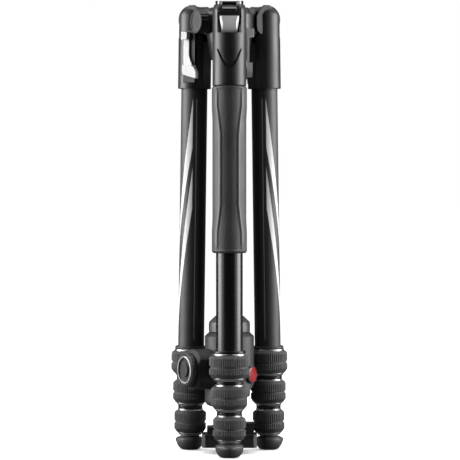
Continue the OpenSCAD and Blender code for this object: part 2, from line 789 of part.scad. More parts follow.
// Stem: the neck below the ball and the screw that holds it there
module ball_stem() {
    rotate_extrude()
        polygon([[0, up(clamp_top_h)], [stem_foot_r, up(clamp_top_h)],
                 [stem_foot_r, up(clamp_top_h) + 2 * edge], [stem_r, up(clamp_top_h) + 6 * edge],
                 [stem_r, up(ball_flat_h)], [stem_screw_r, up(ball_flat_h)],
                 [stem_screw_r, up(ball_flat_h) + stem_screw_len - gap],
                 [0, up(ball_flat_h) + stem_screw_len - gap]]);
    translate([0, 0, up(clamp_top_h) - pivot_len]) cylinder(r = pivot_r, h = pivot_len + over);
}
stem_r = 6.5;
stem_foot_r = 10;
clamp_top_h = 25;
// The stem's pivot in the clamp
pivot_r = 4;
pivot_len = 5;

// Ball-lock knob with its recess, its grooved rim and the cam shaft above the ball
module main_knob() {
    back = housing_reach + gap;
    radial(knob_az, main_knob_h) difference() {
        union() {
            ring(main_knob_d / 2, 0, back, main_knob_reach, 2 * edge);
            translate([0, 0, -cam_end]) cylinder(r = main_screw_r, h = back + edge + cam_end);
        }
        translate([0, 0, main_knob_reach - dial_t]) cylinder(r = dial_d / 2 + run, h = dial_t + over);
        translate([0, 0, main_knob_reach - dial_t - dial_pin_len])
            cylinder(r = dial_pin_r + run, h = dial_pin_len + over);
        for (a = [0:knob_slots - 1]) rotate([0, 0, a * 360 / knob_slots])
            translate([main_knob_d / 2, 0, back + 2 * edge])
                cylinder(r = edge, h = main_knob_reach - back, $fn = 24);
    }
}
knob_slots = 40;
dial_t = 3;
dial_pin_r = 3;
dial_pin_len = 2.2;

// Friction dial in the face of the ball-lock knob, with a wing to turn it by
module friction_dial() {
    face = main_knob_reach - dial_t + gap;
    radial(knob_az, main_knob_h) {
        difference() {
            ring(dial_d / 2, 0, face, main_knob_reach, fine_edge);
            translate([0, 0, face + over]) ring(dial_d / 2 - 2 * edge, wing_r, 0, dial_t);
        }
        translate([-wing_r, -wing_w / 2, face]) cube([2 * wing_r, wing_w, dial_t - gap]);
        translate([0, 0, face - dial_pin_len + gap]) cylinder(r = dial_pin_r, h = dial_pin_len);
    }
}
wing_r = 6;
wing_w = 4.4;

// Pan-lock knob at the back of the head
module pan_knob() {
    radial(back_az, pan_knob_h) {
        fluted(pan_knob_d / 2 - edge, pan_boss_reach + gap, pan_knob_reach, 14, 2 * edge, edge);
        translate([0, 0, spindle_r + gap]) cylinder(r = pan_screw_r, h = pan_boss_reach - spindle_r);
    }
}
pan_knob_reach = 33.5;

// Plain red badge set in its boss, slightly domed
module badge() {
    r = badge_d / 2;
    radial(badge_az, badge_h) rotate_extrude()
        polygon([[0, badge_reach - badge_t], [r, badge_reach - badge_t], [r, badge_reach - edge],
                 [r - edge, badge_reach - fine_edge], [r / 2, badge_reach - fine_edge / 3],
                 [0, badge_reach]]);
}

// Clamp: a wide flange below, jaws above and a socket for the stem's pivot
module clamp() {
    low = up(plate_top_h);
    depth = clamp_front + clamp_back;
    mid_y = (clamp_back - clamp_front) / 2;
    difference() {
        union() {
            translate([0, mid_y, low]) linear_extrude(flange_t)
                chamfered(plate_w, depth, plate_chamfer);
            translate([-jaw_left, -jaw_front, low]) cube([jaw_left, jaw_depth, jaw_left_t]);
            translate([0, -jaw_front, low]) cube([jaw_right - jaw_block, jaw_depth, jaw_mid_t]);
            translate([jaw_right - jaw_block, -jaw_front, low]) cube([jaw_block, jaw_depth, jaw_right_t]);
            translate([0, 0, low]) cylinder(r = stem_foot_r, h = up(clamp_top_h) - gap - low);
            translate([lever_x, lever_y, low]) cylinder(r = lever_boss_r, h = lever_low);
            translate([lever_x - lever_boss_r, clamp_back - over, low])
                cube([2 * lever_boss_r, lever_y - clamp_back + over, lever_low]);
        }
        translate([0, 0, up(clamp_top_h) - pivot_len - gap])
            cylinder(r = pivot_r + run, h = pivot_len + over);
        translate([0, 0, up(clamp_top_h) - gap]) cylinder(r = stem_foot_r + gap, h = jaw_right_t);
        translate([0, mid_y, low - over]) linear_extrude(tongue_t + over)
            square([dovetail_w + 2 * fit, depth - 4 * plate_chamfer + 2 * fit], center = true);
        translate([lever_x, lever_y, low - over]) cylinder(r = lever_pin_r + run, h = lever_low + 2 * over);
    }
}
plate_top_h = face_lift + plate_t + fit;
jaw_left = 20;
jaw_right = 22;
jaw_front = 13;
jaw_depth = 18;
jaw_block = 8;
jaw_left_t = 10.2;
jaw_mid_t = 10.8;
jaw_right_t = 13.6;
dovetail_w = 38;
tongue_t = 2.4;

// A rectangle about the origin with its corners cut at 45 degrees
module chamfered(x, y, c) {
    polygon([for (s = [[1, 1, 0], [1, 1, 1], [-1, 1, 1], [-1, 1, 0], [-1, -1, 0], [-1, -1, 1],
                       [1, -1, 1], [1, -1, 0]])
        [s[0] * (x / 2 - c * s[2]), s[1] * (y / 2 - c * (1 - s[2]))]]);
}

// Lever that locks the plate, on a pin behind the clamp
module clamp_lever() {
    low = up(plate_top_h) + lever_low + gap;
    translate([lever_x, lever_y, 0]) {
        translate([0, 0, low]) cylinder(r = lever_boss_r, h = lever_tall);
        translate([-lever_len, -lever_thick / 2, low]) cube([lever_len, lever_thick, lever_tall]);
        translate([-lever_len, 0, low]) cylinder(r = lever_tip_r, h = lever_tall);
        translate([0, 0, low - lever_low]) cylinder(r = lever_pin_r, h = lever_low + over);
    }
}
lever_x = 11;
lever_y = 13.4;
lever_boss_r = 4.8;
lever_low = 3;
lever_tall = 6;
lever_len = 24;
lever_thick = 4;
lever_tip_r = 3.4;
lever_pin_r = 2;

// Quick plate: bevelled body, dovetail tongue above and the camera screw's counterbore
module plate() {
    mid_y = (clamp_back - clamp_front) / 2;
    difference() {
        union() {
            linear_extrude(plate_t)
                polygon([[-plate_w / 2, plate_chamfer - clamp_front], [plate_chamfer - plate_w / 2, -clamp_front],
                         [plate_w / 2 - plate_chamfer, -clamp_front], [plate_w / 2, plate_chamfer - clamp_front],
                         [plate_w / 2, plate_back - plate_taper], [plate_w / 2 - plate_taper, plate_back],
                         [plate_taper - plate_w / 2, plate_back], [-plate_w / 2, plate_back - plate_taper]]);
            translate([0, mid_y, plate_t - over]) linear_extrude(tongue_t + over - gap)
                square([dovetail_w, clamp_front + clamp_back - 4 * plate_chamfer], center = true);
        }
        translate([0, 0, -over]) cylinder(r = screw_r + gap, h = plate_t + tongue_t + 2 * over);
        translate([0, 0, screw_seat]) cylinder(r = screw_head_r + gap, h = plate_t + tongue_t);
        for (s = [-1, 1]) translate([s * pad_x, pad_y, -over]) linear_extrude(pad_t + over)
            round_rect(pad_w + 2 * fit, pad_len + 2 * fit, pad_round);
    }
}
screw_seat = 3;
screw_neck_r = 2.6;
screw_head_r = 7.5;
screw_head_t = 3.6;
pad_x = 15;
pad_w = 9;
pad_y = -4.5;
pad_len = 23;
pad_t = 1;
pad_round = 1.4;

// Two rubber strips let into the plate's camera face
module plate_pads() {
    for (s = [-1, 1]) translate([s * pad_x, pad_y, 0]) linear_extrude(pad_t)
        round_rect(pad_w, pad_len, pad_round);
}

// Camera screw: the thread below the plate's face, a thinner neck in the plate and a slotted head
module camera_screw() {
    difference() {
        union() {
            translate([0, 0, -screw_len]) cylinder(r = screw_r, h = screw_len);
            translate([0, 0, -over]) cylinder(r = screw_neck_r, h = over + screw_seat + over);
            translate([0, 0, screw_seat + fit]) cylinder(r = screw_head_r, h = screw_head_t);
        }
        translate([-screw_head_r, -fine_edge, screw_seat + screw_head_t - over])
            cube([2 * screw_head_r, 2 * edge, 2 * over]);
    }
}

// The legs' nodes: three alike, each drawn in its own leg's place
for (i = [0:2]) {
    at_hinge(i) color("#26272a") shoulder();
    at_hinge(i) color("#d5d6d8") selector();
    at_sole(i) color("#202122") foot();
    for (k = [0:3])
        at_sole(i) color("#1b1c1e") leg_tube(k);
    for (k = [0:2]) {
        at_sole(i) color("#c8c9cb") lock_nut(k);
        at_sole(i) color("#3a3b3d") lock_sleeve(k);
    }
}
color("#232427") hub();
color("#9fa1a4") hinge_pins();
color("#151516") column_bush();
color("#1b1c1e") column();
color("#17181a") column_cap();
color("#2a2b2d") column_knob();
color("#3d3e40") front_grip();
color("#4a4b4e") head_base();
color("#1f2023") head_body();
color("#d8d4c8") ball_seat();
color("#1a1a1c") ball();
color("#3a3b3d") ball_stem();
color("#2c2d2f") main_knob();
color("#55565a") friction_dial();
color("#2a2b2d") pan_knob();
color("#b3202c") badge();
color("#242528") clamp();
color("#3a3b3e") clamp_lever();
color("#3b3c3f") plate();
color("#141415") plate_pads();
color("#a9abae") camera_screw();
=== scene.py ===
# %% [markdown]
# A folded travel tripod, dressed for its picture
#
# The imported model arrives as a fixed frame: sixty rigid pieces that already have their true
# size and place. This lesson gives them finishes, swaps the soft rubber pieces for finer ones
# and lights the result. Everything is in metres, with +Z up and the origin in the middle of
# the quick plate's camera face.

# %% Load the frame
import math

import bpy
import numpy as np
from mathutils import Matrix, Vector


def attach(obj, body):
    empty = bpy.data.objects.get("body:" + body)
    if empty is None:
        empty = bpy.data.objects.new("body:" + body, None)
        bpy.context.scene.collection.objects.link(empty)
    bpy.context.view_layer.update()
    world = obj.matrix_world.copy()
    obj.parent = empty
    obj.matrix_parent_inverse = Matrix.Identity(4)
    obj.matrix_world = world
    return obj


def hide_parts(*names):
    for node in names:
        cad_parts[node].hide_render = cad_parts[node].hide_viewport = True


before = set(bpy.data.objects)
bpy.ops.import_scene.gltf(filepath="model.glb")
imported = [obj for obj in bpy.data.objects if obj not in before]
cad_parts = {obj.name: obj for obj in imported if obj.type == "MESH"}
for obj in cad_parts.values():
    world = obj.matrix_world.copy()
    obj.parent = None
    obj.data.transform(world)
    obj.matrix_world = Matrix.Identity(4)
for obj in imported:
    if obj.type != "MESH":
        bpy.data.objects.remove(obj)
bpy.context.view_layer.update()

# %% [markdown]
# The camera
#
# The picture was taken from about two metres away, with the lens a little over half as high as
# the tripod. A long lens does this: with a short one close by, the rear legs would look much
# smaller than the front one. The camera is tipped down by about one degree, because the
# horizon lies above the middle of the picture.

# %% Camera
MM = 0.001
FLOOR_Z = -5.8 * MM            # the feet stand this far below the plate's face
PICTURE = 460                  # width and height of the picture in pixels
FOCAL_PIXELS = 2134.5
SENSOR = 36                    # width of the camera's sensor in mm
CAMERA_PLACE = (0.54 * MM, -1.905, 0.2232)
CAMERA_DIP = 0.921             # degrees below level

camera_data = bpy.data.cameras.new("camera")
camera_data.sensor_width = SENSOR
camera_data.lens = camera_data.sensor_width * FOCAL_PIXELS / PICTURE
camera = bpy.data.objects.new("camera", camera_data)
camera.location = CAMERA_PLACE
camera.rotation_euler = (math.radians(90 - CAMERA_DIP), 0, 0)
bpy.context.collection.objects.link(camera)
bpy.context.scene.camera = camera
print(f"camera: lens {camera_data.lens:.1f} mm, {-camera.location.y:.3f} m in front")

# %% [markdown]
# The lamps
#
# Black things in a white studio are drawn by their highlights. Two tall softboxes stand
# straight to the left and right, so every upright tube gets a soft grey band on each flank and
# stays dark in the middle. A weaker, narrower lamp beside each feathers the band towards the
# camera, and one overhead lights the castings' tops. A lamp from the front would be simpler,
# but it would draw a bright line down the middle of each tube.

# %% Lamps
AIM = (0, 0, 0.20)             # the middle of the tripod
AIM_HIGH = (0, 0, 0.25)
LAMP_UP, LAMP_TALL = 0.40, 1.5
# Lamps at the sides: how far out, how far back, width and watts
SIDE_LAMPS = {"softbox": (1.25, -0.02, 0.85, 38), "feather": (1.00, -0.62, 0.4, 3.5)}


def softbox(name, place, aim, width, height, watts):
    """A rectangular lamp at place that faces aim; sizes in metres."""
    data = bpy.data.lights.new(name, "AREA")
    data.shape = "RECTANGLE"
    data.size, data.size_y, data.energy = width, height, watts
    lamp = bpy.data.objects.new(name, data)
    lamp.location = place
    lamp.rotation_euler = (lamp.location - Vector(aim)).to_track_quat("Z", "Y").to_euler()
    bpy.context.collection.objects.link(lamp)


for side, hand in ((-1, "left"), (1, "right")):
    for kind, (out, back, width, watts) in SIDE_LAMPS.items():
        softbox(f"{kind} {hand}", (side * out, back, LAMP_UP), AIM, width, LAMP_TALL, watts)
softbox("overhead", (0.0, 0.30, 1.35), AIM_HIGH, 1.2, 0.6, 10)
print("lamps:", len(bpy.data.lights))

# %% [markdown]
# The room
#
# The room behind the camera is dark, again so that the tubes stay dark in the middle, and it
# gets brighter towards the backdrop. The backdrop itself is pure white to the camera, while
# the tripod only receives the dimmer room: a light path node tells the two apart. The shader
# is built from nodes by one small helper, which all later finishes use as well.

# %% Room
ROOM_DARK, ROOM_BRIGHT = 0.004, 0.16


def add(tree, kind, inputs=None, **settings):
    """A new node; settings are its properties, inputs its sockets' values or what feeds them."""
    node = tree.nodes.new(kind)
    for name, value in settings.items():
        setattr(node, name, value)
    for name, value in (inputs or {}).items():
        if isinstance(value, bpy.types.NodeSocket):
            tree.links.new(value, node.inputs[name])
        else:
            node.inputs[name].default_value = value
    return node


def grey(level):
    """A grey with full alpha, as a colour socket takes it."""
    return (level, level, level, 1)


world = bpy.data.worlds.new("studio")
bpy.context.scene.world = world
world.use_nodes = True
room = world.node_tree
room.nodes.clear()
direction = add(room, "ShaderNodeTexCoord").outputs["Generated"]
depth = add(room, "ShaderNodeSeparateXYZ", {"Vector": direction}).outputs["Y"]
depth = add(room, "ShaderNodeMapRange", {"Value": depth, "From Min": -0.8, "From Max": 0.9,
                                         "To Min": ROOM_DARK,
                                         "To Max": ROOM_BRIGHT}).outputs["Result"]
seen = add(room, "ShaderNodeBackground", {"Color": grey(1), "Strength": 1.0}).outputs[0]
lighting = add(room, "ShaderNodeBackground", {"Color": grey(1), "Strength": depth}).outputs[0]
ray = add(room, "ShaderNodeLightPath").outputs["Is Camera Ray"]
both = add(room, "ShaderNodeMixShader", {"Fac": ray, 1: lighting, 2: seen}).outputs[0]
add(room, "ShaderNodeOutputWorld", {"Surface": both})
bpy.context.scene.view_settings.view_transform = "Standard"
print("room:", len(room.nodes), "nodes")

# %% [markdown]
# The floor
#
# One big plane is the floor. It glows, so that it runs into the white backdrop without a line.
# Close under the feet the glow fades, by how much of the sky each spot can see, and that
# leaves the soft shadow that keeps the tripod on the ground. Only the camera sees the floor
# so bright: what the black tubes mirror of it is dark, as behind a studio's black flags.

# %% Floor
FLOOR_CORNERS = ((-9, -9), (9, -9), (9, 60), (-9, 60))
SHADOW_REACH = 30 * MM         # a spot with nothing this close above it has its full glow
SHADOW_GLOW, OPEN_GLOW = 0.30, 0.97

floor_mesh = bpy.data.meshes.new("floor")
floor_mesh.from_pydata([(x, y, FLOOR_Z) for x, y in FLOOR_CORNERS], [], [(0, 1, 2, 3)])
floor = bpy.data.objects.new("floor", floor_mesh)
bpy.context.collection.objects.link(floor)
floor_finish = bpy.data.materials.new("pale floor")
floor_finish.use_nodes = True
paper = floor_finish.node_tree
paint = paper.nodes["Principled BSDF"]
paint.inputs["Base Color"].default_value = grey(0.75)
paint.inputs["Roughness"].default_value = 0.8
paint.inputs["Specular IOR Level"].default_value = 0.1
paint.inputs["Emission Color"].default_value = grey(1)
open_sky = add(paper, "ShaderNodeAmbientOcclusion", {"Distance": SHADOW_REACH}, samples=16)
glow = add(paper, "ShaderNodeMapRange", {"Value": open_sky.outputs["AO"], "From Min": 0.25,
                                         "From Max": 0.98, "To Min": SHADOW_GLOW,
                                         "To Max": OPEN_GLOW})
paper.links.new(glow.outputs["Result"], paint.inputs["Emission Strength"])
mirrored = add(paper, "ShaderNodeBsdfDiffuse", {"Color": grey(0.10)}).outputs[0]
ray = add(paper, "ShaderNodeLightPath").outputs["Is Camera Ray"]
shown = add(paper, "ShaderNodeMixShader", {"Fac": ray, 1: mirrored, 2: paint.outputs[0]})
paper.links.new(shown.outputs[0], paper.nodes["Material Output"].inputs["Surface"])
floor_mesh.materials.append(floor_finish)
print("floor at", FLOOR_Z, "m")

# %% [markdown]
# Effects that several finishes share
#
# A real surface is never one flat colour. Three small node groups serve all finishes here:
# a moulded grain, the fine lines that a lathe or a drawing die leaves, and a mask for rubbed
# edges. The nodes could be repeated in every material, but a group is built once and then
# placed in a finish with its own values. The grain comes first: fine noise for the height,
# and broad noise for the tone of handled patches. It reads object coordinates, which are
# plain metres here.

# %% Moulded grain
def group(name, inputs, outputs):
    """An empty shader group with these sockets, as (name, kind, default) and (name, kind)."""
    tree = bpy.data.node_groups.new(name, "ShaderNodeTree")
    for label, kind, value in inputs:
        socket = tree.interface.new_socket(label, in_out="INPUT", socket_type=kind)
        socket.default_value = value
    for label, kind in outputs:
        tree.interface.new_socket(label, in_out="OUTPUT", socket_type=kind)
    return tree, add(tree, "NodeGroupInput").outputs, add(tree, "NodeGroupOutput").inputs


VALUE, VECTOR = "NodeSocketFloat", "NodeSocketVector"

grain, given, result = group("moulded grain", [("Scale", VALUE, 2000.0)],
                             [("Height", VALUE), ("Tone", VALUE)])
spot = add(grain, "ShaderNodeTexCoord").outputs["Object"]
fine = add(grain, "ShaderNodeTexNoise", {"Vector": spot, "Scale": given["Scale"], "Detail": 2.0})
broad = add(grain, "ShaderNodeTexNoise", {"Vector": spot, "Scale": 38.0, "Detail": 3.0,
                                          "Roughness": 0.6})
tone = add(grain, "ShaderNodeMapRange", {"Value": broad.outputs["Fac"], "From Min": 0.3,
                                         "From Max": 0.7})
grain.links.new(fine.outputs["Fac"], result["Height"])
grain.links.new(tone.outputs["Result"], result["Tone"])
print("group:", grain.name)

# %% [markdown]
# Tool lines
#
# A lathe leaves fine rings round a turned piece, and a drawing die leaves lines down a tube.
# A wave texture would draw them too evenly. So this is noise again, squeezed hard across the
# lines and stretched along them.

# %% Tool lines
lines, given, result = group("tool lines", [("Squeeze", VECTOR, (20.0, 20.0, 5000.0))],
                             [("Height", VALUE), ("Tone", VALUE)])
spot = add(lines, "ShaderNodeTexCoord").outputs["Object"]
squeezed = add(lines, "ShaderNodeVectorMath", {0: spot, 1: given["Squeeze"]},
               operation="MULTIPLY").outputs["Vector"]
fine = add(lines, "ShaderNodeTexNoise", {"Vector": squeezed, "Scale": 1.0, "Detail": 3.0})
tone = add(lines, "ShaderNodeMapRange", {"Value": fine.outputs["Fac"], "From Min": 0.35,
                                         "From Max": 0.65})
lines.links.new(fine.outputs["Fac"], result["Height"])
lines.links.new(tone.outputs["Result"], result["Tone"])
print("group:", lines.name)

# %% [markdown]
# Rubbed edges
#
# Hands and bags rub a coating bright along its edges. They could be marked on each mesh by
# hand, but the Bevel node finds them all: it gives the normal that a slightly rounded edge
# would have, and where that departs from the true one, the surface is an edge. The rounded
# normal goes out as well, because it makes the edges look less sharp.

# %% Rubbed edges
edges, given, result = group("rubbed edges", [("Radius", VALUE, 0.0005)],
                             [("Mask", VALUE), ("Normal", VECTOR)])
rounded = add(edges, "ShaderNodeBevel", {"Radius": given["Radius"]}, samples=4).outputs["Normal"]
true = add(edges, "ShaderNodeNewGeometry").outputs["Normal"]
match = add(edges, "ShaderNodeVectorMath", {0: rounded, 1: true},
            operation="DOT_PRODUCT").outputs["Value"]
mask = add(edges, "ShaderNodeMapRange", {"Value": match, "From Min": 0.97, "From Max": 0.75})
edges.links.new(mask.outputs["Result"], result["Mask"])
edges.links.new(rounded, result["Normal"])
print("group:", edges.name)

# %% [markdown]
# Mixing tones
#
# Nearly all colours here are greys, so one short function makes them from a level and a tint.
# A Mix node blends two of them by a mask. Some pieces need a mark on top of their finish, such
# as a ring or a stripe. It could be a thin piece of its own, but print has no thickness, so it
# is mixed over the tone by a mask as well.

# %% Mixing tones
def tone3(level, tint=0.0):
    """A near-grey; tint above 0 is cooler."""
    return (level * (1 - tint), level, level * (1 + tint))


def mix_colour(tree, factor, first, second):
    """first where factor is 0, second where it is 1; each is a socket or three numbers."""
    inputs = {"Factor": factor}
    for socket, colour in ((6, first), (7, second)):       # a Mix node's two colour sockets
        inputs[socket] = colour if isinstance(colour, bpy.types.NodeSocket) else (*colour, 1)
    return add(tree, "ShaderNodeMix", inputs, data_type="RGBA").outputs[2]


def paint_over(material, mask, colour):
    """Mixes colour by mask over whatever feeds the material's base colour."""
    tree = material.node_tree
    base = tree.nodes["Principled BSDF"].inputs["Base Color"]
    plain = base.links[0].from_socket
    tree.links.new(mix_colour(tree, mask, plain, colour), base)


print("a cool near-grey:", tone3(0.05, 0.03))

# %% [markdown]
# A recipe for a finish
#
# Each finish could be built by hand, but one recipe with named values covers them all: two
# close tones mixed by the noise of the grain or of the tool lines, roughness that follows it,
# a bump from the same group, and a slightly brighter tone on rubbed edges. The castings'
# powder coat is the first to use it: satin, with a fine pebble.

# %% Recipe for a finish
def finish(name, dark, light, rough, metallic=0.0, grain_scale=2600.0, depth=8e-6,
           squeeze=None, edge_radius=0.0005, edge_tone=None, coat=0.0):
    """A procedural finish: colour, roughness and bump each follow the surface."""
    material = bpy.data.materials.new(name)
    material.use_nodes = True
    tree = material.node_tree
    shader = tree.nodes["Principled BSDF"]
    if squeeze is None:
        relief = add(tree, "ShaderNodeGroup", node_tree=grain)
        relief.inputs["Scale"].default_value = grain_scale
    else:
        relief = add(tree, "ShaderNodeGroup", node_tree=lines)
        relief.inputs["Squeeze"].default_value = squeeze
    worn = add(tree, "ShaderNodeGroup", node_tree=edges)
    worn.inputs["Radius"].default_value = edge_radius
    colour = mix_colour(tree, relief.outputs["Tone"], dark, light)
    if edge_tone is not None:
        colour = mix_colour(tree, worn.outputs["Mask"], colour, edge_tone)
    shine = add(tree, "ShaderNodeMapRange", {"Value": relief.outputs["Tone"], "To Min": rough[0],
                                             "To Max": rough[1]}).outputs["Result"]
    bump = add(tree, "ShaderNodeBump", {"Height": relief.outputs["Height"], "Distance": depth,
                                        "Strength": 1.0, "Normal": worn.outputs["Normal"]})
    tree.links.new(colour, shader.inputs["Base Color"])
    tree.links.new(shine, shader.inputs["Roughness"])
    tree.links.new(bump.outputs["Normal"], shader.inputs["Normal"])
    shader.inputs["Metallic"].default_value = metallic
    shader.inputs["Coat Weight"].default_value = coat
    shader.inputs["Coat Roughness"].default_value = 0.05
    return material


materials_before = len(bpy.data.materials)
casting_black = finish("satin black casting", tone3(0.008, 0.03), tone3(0.013, 0.03),
                       (0.34, 0.42), edge_tone=tone3(0.05), depth=7e-6)
print(casting_black.name, "has", len(casting_black.node_tree.nodes), "nodes")

# %% [markdown]
# The other finishes
#
# Nearly everything is black, but no two blacks are alike: the anodised tubes are smoother than
# the castings and have lines along them, rubber is matt and a little grey, and moulded plastic
# shines more than rubber. The few silver pieces, such as the locks' rings and the selectors,
# catch the eye first, so they have to be just as bright as the real ones.

# %% The other finishes
ALONG_LEG = (2600.0, 2600.0, 14.0)      # lines down a drawn tube
ROUND_LEG = (16.0, 16.0, 5200.0)        # lines round a turned ring

tube_black = finish("black anodised tube", tone3(0.004, 0.03), tone3(0.007, 0.03), (0.19, 0.25),
                    squeeze=ALONG_LEG, depth=1.5e-6, edge_radius=0.0003)
lock_metal = finish("turned aluminium", tone3(0.52), tone3(0.72), (0.20, 0.30), metallic=1.0,
                    squeeze=ROUND_LEG, depth=3e-6, edge_radius=0.0003)
lock_rubber = finish("ribbed rubber", tone3(0.040), tone3(0.056), (0.52, 0.64),
                     grain_scale=4200, depth=2e-5, edge_radius=0.0002)
grip_rubber = finish("grip rubber", tone3(0.038), tone3(0.050), (0.48, 0.60),
                     grain_scale=4200, depth=2e-5, edge_radius=0.0002)
foot_rubber = finish("foot rubber", tone3(0.046), tone3(0.060), (0.42, 0.52),
                     grain_scale=3600, depth=1.5e-5)
selector_silver = finish("silver selector", tone3(0.62), tone3(0.72), (0.40, 0.50), metallic=0.1,
                         grain_scale=3000, depth=4e-6)
steel = finish("plain steel", tone3(0.50), tone3(0.62), (0.20, 0.32), metallic=1.0,
               squeeze=ROUND_LEG, depth=3e-6, edge_radius=0.0003)
bush_plastic = finish("black bush plastic", tone3(0.009), tone3(0.013), (0.30, 0.38))
knob_black = finish("moulded black knob", tone3(0.012), tone3(0.019), (0.34, 0.44),
                    edge_tone=tone3(0.04))
knob_matt = finish("matt black knob", tone3(0.008), tone3(0.013), (0.46, 0.56),
                   edge_tone=tone3(0.04))
dial_grey = finish("dark grey dial", tone3(0.020), tone3(0.030), (0.30, 0.38),
                   edge_tone=tone3(0.40))
base_grey = finish("satin grey casting", tone3(0.05, 0.03), tone3(0.07, 0.03), (0.32, 0.40),
                   edge_tone=tone3(0.12), depth=7e-6)
head_black = finish("satin black head", tone3(0.024, 0.03), tone3(0.033, 0.03), (0.40, 0.48),
                    edge_tone=tone3(0.06), depth=7e-6)
badge_red = finish("red enamel", (0.25, 0.003, 0.007), (0.33, 0.005, 0.010), (0.22, 0.30),
                   coat=0.7, depth=1e-6)
ball_black = finish("hard anodised ball", tone3(0.010), tone3(0.015), (0.15, 0.20), depth=1e-6)
liner_plastic = finish("dark liner", (0.030, 0.022, 0.024), (0.040, 0.030, 0.032), (0.40, 0.48))
plate_grey = finish("grey plate", tone3(0.030, 0.03), tone3(0.045, 0.03), (0.30, 0.40),
                    edge_tone=tone3(0.14), metallic=0.4)
print("finishes:", len(bpy.data.materials) - materials_before)

# %% [markdown]
# Which piece wears which finish
#
# Each of the sixty pieces could be dressed by hand, but the three legs are alike, so a table
# names their pieces by their ending. A CAD piece keeps its mesh untouched: only the material
# in its slot changes.

# %% Dress the frame's own pieces
LEGS = ("front", "left", "right")
WEARS = {
    "shoulder": casting_black, "selector": selector_silver, "tube_1": tube_black,
    "tube_2": tube_black, "tube_3": tube_black, "tube_4": tube_black,
    "lock_1": lock_metal, "lock_2": lock_metal, "lock_3": lock_metal,
    "sleeve_1": lock_rubber, "sleeve_2": lock_rubber, "sleeve_3": lock_rubber,
    "foot": foot_rubber, "hub": casting_black, "hinge_pins": steel,
    "column_bush": bush_plastic, "column": tube_black, "column_cap": bush_plastic,
    "column_knob": knob_matt, "front_grip": grip_rubber, "head_base": base_grey,
    "head_body": head_black, "ball_seat": liner_plastic, "ball": ball_black,
    "ball_stem": base_grey, "main_knob": knob_black, "friction_dial": dial_grey,
    "pan_knob": knob_black, "badge": badge_red, "clamp": casting_black,
    "clamp_lever": base_grey, "plate": plate_grey, "plate_pads": foot_rubber,
    "camera_screw": steel,
}
for name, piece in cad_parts.items():
    leg, _, rest = name.partition("_")
    ending = rest if leg in LEGS and name not in WEARS else name
    piece.data.materials.clear()
    piece.data.materials.append(WEARS[ending])
print("dressed:", len(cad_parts), "pieces")

# %% [markdown]
# Turned rings on the knobs
#
# The dial in the ball lock's face has a bright turned rim, the knob round it a paler lip, and
# the column's knob a fine circle in its face. They could be faces with a material of their
# own, but a distance is enough, because all are rings about a knob's axis. The distance from
# that axis is the length of the cross product of the axis with the way from a point on it.

# %% Rings
KNOB_ANGLE = math.radians(210)  # both lock knobs point to the front left
KNOB_AXIS = (math.cos(KNOB_ANGLE), math.sin(KNOB_ANGLE), 0.0)
BALL_LOCK, COLUMN_LOCK = (0.0, 0.0, 69.4 * MM), (0.0, 0.0, 377.2 * MM)
TO_THE_RIM = 99                # mm, beyond any knob's edge
RING_SOFT = 0.15               # mm, half of the width over which a ring fades in


def maths(tree, operation, *values):
    """What an arithmetic node makes of these values or sockets."""
    return add(tree, "ShaderNodeMath", dict(enumerate(values)), operation=operation).outputs[0]


def soft_step(tree, value, edge, soft):
    """0 below edge - soft and 1 above edge + soft; with soft below 0 it falls instead."""
    return add(tree, "ShaderNodeMapRange", {"Value": value, "From Min": edge - soft,
                                            "From Max": edge + soft}).outputs["Result"]


def ringed(plain, name, centre, inner, outer, colour, metal):
    """A copy of a finish whose colour changes between two radii about a knob's axis."""
    material = plain.copy()
    material.name = name
    tree = material.node_tree
    spot = add(tree, "ShaderNodeTexCoord").outputs["Object"]
    arm = add(tree, "ShaderNodeVectorMath", {0: spot, 1: centre}, operation="SUBTRACT")
    off = add(tree, "ShaderNodeVectorMath", {0: arm.outputs[0], 1: KNOB_AXIS},
              operation="CROSS_PRODUCT")
    away = add(tree, "ShaderNodeVectorMath", {0: off.outputs[0]}, operation="LENGTH")
    mask = maths(tree, "MULTIPLY",
                 soft_step(tree, away.outputs["Value"], inner * MM, RING_SOFT * MM),
                 soft_step(tree, away.outputs["Value"], outer * MM, -RING_SOFT * MM))
    paint_over(material, mask, colour)
    if metal:
        tree.links.new(mask, tree.nodes["Principled BSDF"].inputs["Metallic"])
    return material


# node: plain finish, name, centre, inner and outer radius in mm, colour, bare metal or not
RINGS = {
    "friction_dial": (dial_grey, "dial with turned rim", BALL_LOCK, 11.1, TO_THE_RIM,
                      tone3(0.72), True),
    "main_knob": (knob_black, "knob with pale lip", BALL_LOCK, 14.3, TO_THE_RIM,
                  tone3(0.10), False),
    "column_knob": (knob_matt, "knob with a circle", COLUMN_LOCK, 6.6, 7.3,
                    tone3(0.06), False),
}
for name, ring in RINGS.items():
    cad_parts[name].data.materials[0] = ringed(*ring)
print("rings:", len(RINGS))

# %% [markdown]
# Surfaces from formulas
#
# The rubber pieces could be lathed with a Screw modifier, but ribs and a knurl need a radius
# that changes on the way round. So they are worked out as grids of points: a profile of
# radius and height is carried round an axis, and a formula changes the radius. Radius and
# height are a column and the angle is a row, so numpy works out the whole grid at once.

# %% Points of a turned piece
def refined(corners, step):
    """The polyline through corners with points no further apart than step; corners stay."""
    corners = np.asarray(corners, float)
    spans = zip(corners[:-1], corners[1:])
    rows = [a + (b - a) * np.linspace(0, 1, max(1, math.ceil(np.hypot(*(b - a)) / step)),
                                      endpoint=False)[:, None] for a, b in spans]
    return np.vstack(rows + [corners[-1:]])


def carried_round(profile, around):
    """The profile's radius and height as columns, and a full turn of angles as a row."""
    angle = np.linspace(0, 2 * math.pi, around, endpoint=False)
    return profile[:, :1], profile[:, 1:], angle[None, :]


